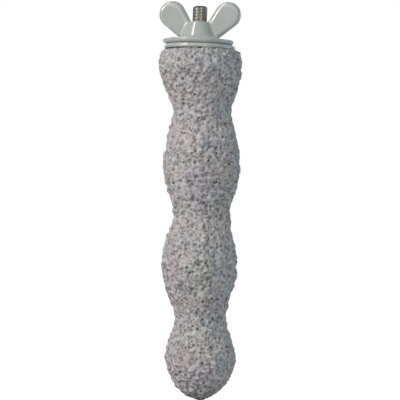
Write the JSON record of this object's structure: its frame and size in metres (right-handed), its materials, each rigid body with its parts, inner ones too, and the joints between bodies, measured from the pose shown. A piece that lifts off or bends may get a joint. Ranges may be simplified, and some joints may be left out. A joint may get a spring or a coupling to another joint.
{
  "type": "bird perch",
  "caption": "Straight rough mineral bird perch with a waved grip, closed onto cage wires by a bolt, washers and a wing nut at one end.",
  "frame": {"origin": "on the bolt's axis, at the plane where the two washers meet and close on the cage wires", "axes": "+Z along the bolt towards its free end, so that the rough body hangs down -Z, set 0.7 mm off the bolt towards +X and leaning 2.2 degrees that way; the closed nut's wings stand 14 degrees clockwise of X, seen from the bolt's free end"},
  "size_m": [0.0394, 0.0377, 0.1733],
  "materials": {
    "mineral": "coarse and open-grained",
    "hardwood": "sanded",
    "plated_steel": "dull plating",
    "grey_plastic": "moulded, semi-gloss"
  },
  "bodies": {
    "perch": {"mineral_coat": "mineral", "core": "hardwood", "hanger_bolt": "plated_steel"},
    "inner_washer": {"inner_washer": "grey_plastic"},
    "outer_washer": {"outer_washer": "grey_plastic"},
    "wing_nut": {"wing_nut": "grey_plastic"}
  },
  "joints": [
    {"name": "inner_washer_turn", "type": "hinge", "parent": "perch", "child": "inner_washer", "pos_m": [0.0004, 0, 0], "axis": [0, 0, 1], "continuous": true},
    {"name": "outer_washer_slide", "type": "slide", "parent": "perch", "child": "outer_washer", "axis": [0, 0, 1], "range_m": [0, 0.01398]},
    {"name": "wing_nut_turn", "type": "hinge", "parent": "outer_washer", "child": "wing_nut", "pos_m": [0, 0, 0.0021], "axis": [0, 0, 1], "range_deg": [0, 3960]}
  ],
  "couplings": [
    {"joint": "outer_washer_slide", "follows": "wing_nut_turn", "m_per_rad": 0.00020213}
  ]
}
